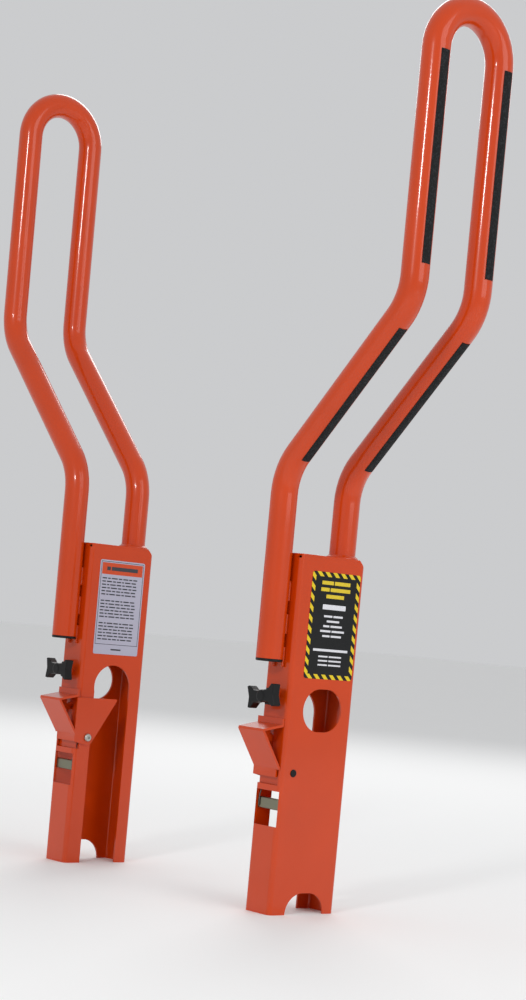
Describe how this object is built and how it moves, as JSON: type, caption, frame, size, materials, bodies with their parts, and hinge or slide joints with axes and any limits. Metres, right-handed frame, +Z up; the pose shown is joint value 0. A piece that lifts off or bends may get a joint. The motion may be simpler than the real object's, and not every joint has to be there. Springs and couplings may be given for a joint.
{
  "type": "ladder stabilizer",
  "caption": "Pair of clamp-on walk-through ladder rail extensions: sheet-steel rail sleeves with tall bent-tube handrail loops, rung latches and clamp knobs.",
  "frame": {"origin": "midway between the two ladder rails, on the centre line of the top rung", "axes": "+X across the ladder to the right unit, +Y away from the climber, +Z up along the rails"},
  "size_m": [0.9758, 0.1624, 1.2529],
  "materials": {
    "orange_powder_coat": "gloss powder coat",
    "black_plastic": "moulded",
    "black_grit_tape": "gritty",
    "zinc_plated_steel": "bright zinc",
    "spring_steel": "bright",
    "hazard_label": "printed vinyl",
    "white_label": "printed vinyl"
  },
  "bodies": {
    "left_unit": {"left_sleeve": "orange_powder_coat", "left_sleeve_lid": "orange_powder_coat", "left_anchor_bar": "zinc_plated_steel", "left_hole_plug": "black_plastic", "left_handle_tube": "orange_powder_coat", "left_foot_cap": "black_plastic", "left_grip_front_upper": "black_grit_tape", "left_grip_rear_upper": "black_grit_tape", "left_grip_front_slope": "black_grit_tape", "left_grip_rear_slope": "black_grit_tape", "left_weld_front_leg": "orange_powder_coat", "left_weld_rear_leg": "orange_powder_coat", "left_label_outer": "hazard_label", "left_label_inner": "white_label", "left_pivot_bolt": "zinc_plated_steel", "left_spring_spool": "zinc_plated_steel", "left_pivot_nut": "zinc_plated_steel", "left_return_spring": "spring_steel", "left_weld_nut": "orange_powder_coat"},
    "left_latch": {"left_latch": "orange_powder_coat"},
    "left_shoe": {"left_clamp_shoe": "zinc_plated_steel"},
    "left_knob": {"left_clamp_knob": "black_plastic", "left_clamp_stud": "zinc_plated_steel"},
    "right_unit": {"right_sleeve": "orange_powder_coat", "right_sleeve_lid": "orange_powder_coat", "right_anchor_bar": "zinc_plated_steel", "right_hole_plug": "black_plastic", "right_handle_tube": "orange_powder_coat", "right_foot_cap": "black_plastic", "right_grip_front_upper": "black_grit_tape", "right_grip_rear_upper": "black_grit_tape", "right_grip_front_slope": "black_grit_tape", "right_grip_rear_slope": "black_grit_tape", "right_weld_front_leg": "orange_powder_coat", "right_weld_rear_leg": "orange_powder_coat", "right_label_outer": "hazard_label", "right_label_inner": "white_label", "right_pivot_bolt": "zinc_plated_steel", "right_spring_spool": "zinc_plated_steel", "right_pivot_nut": "zinc_plated_steel", "right_return_spring": "spring_steel", "right_weld_nut": "orange_powder_coat"},
    "right_latch": {"right_latch": "orange_powder_coat"},
    "right_shoe": {"right_clamp_shoe": "zinc_plated_steel"},
    "right_knob": {"right_clamp_knob": "black_plastic", "right_clamp_stud": "zinc_plated_steel"}
  },
  "joints": [
    {"name": "left_latch_release", "type": "hinge", "parent": "left_unit", "child": "left_latch", "pos_m": [-0.222, -0.0445, -0.09], "axis": [1, 0, 0], "range_deg": [0, 22], "stiffness_Nm_per_rad": 0.6, "springref_deg": -34.38, "deforming": ["left_return_spring"]},
    {"name": "left_clamp_slide", "type": "slide", "parent": "left_unit", "child": "left_shoe", "axis": [0, -1, 0], "range_m": [0, 0.012]},
    {"name": "left_knob_turn", "type": "hinge", "parent": "left_shoe", "child": "left_knob", "pos_m": [-0.249, -0.066, 0.015], "axis": [0, -1, 0], "range_deg": [0, 2880]},
    {"name": "right_latch_release", "type": "hinge", "parent": "right_unit", "child": "right_latch", "pos_m": [0.222, -0.0445, -0.09], "axis": [1, 0, 0], "range_deg": [0, 22], "stiffness_Nm_per_rad": 0.6, "springref_deg": -34.38, "deforming": ["right_return_spring"]},
    {"name": "right_clamp_slide", "type": "slide", "parent": "right_unit", "child": "right_shoe", "axis": [0, -1, 0], "range_m": [0, 0.012]},
    {"name": "right_knob_turn", "type": "hinge", "parent": "right_shoe", "child": "right_knob", "pos_m": [0.249, -0.066, 0.015], "axis": [0, -1, 0], "range_deg": [0, 2880]},
    {"name": "unit_spacing", "type": "slide", "parent": "left_unit", "child": "right_unit", "axis": [1, 0, 0], "range_m": [-0.05, 0.1]}
  ],
  "couplings": [
    {"joint": "left_clamp_slide", "follows": "left_knob_turn", "m_per_rad": 0.00023873},
    {"joint": "right_clamp_slide", "follows": "right_knob_turn", "m_per_rad": 0.00023873}
  ]
}
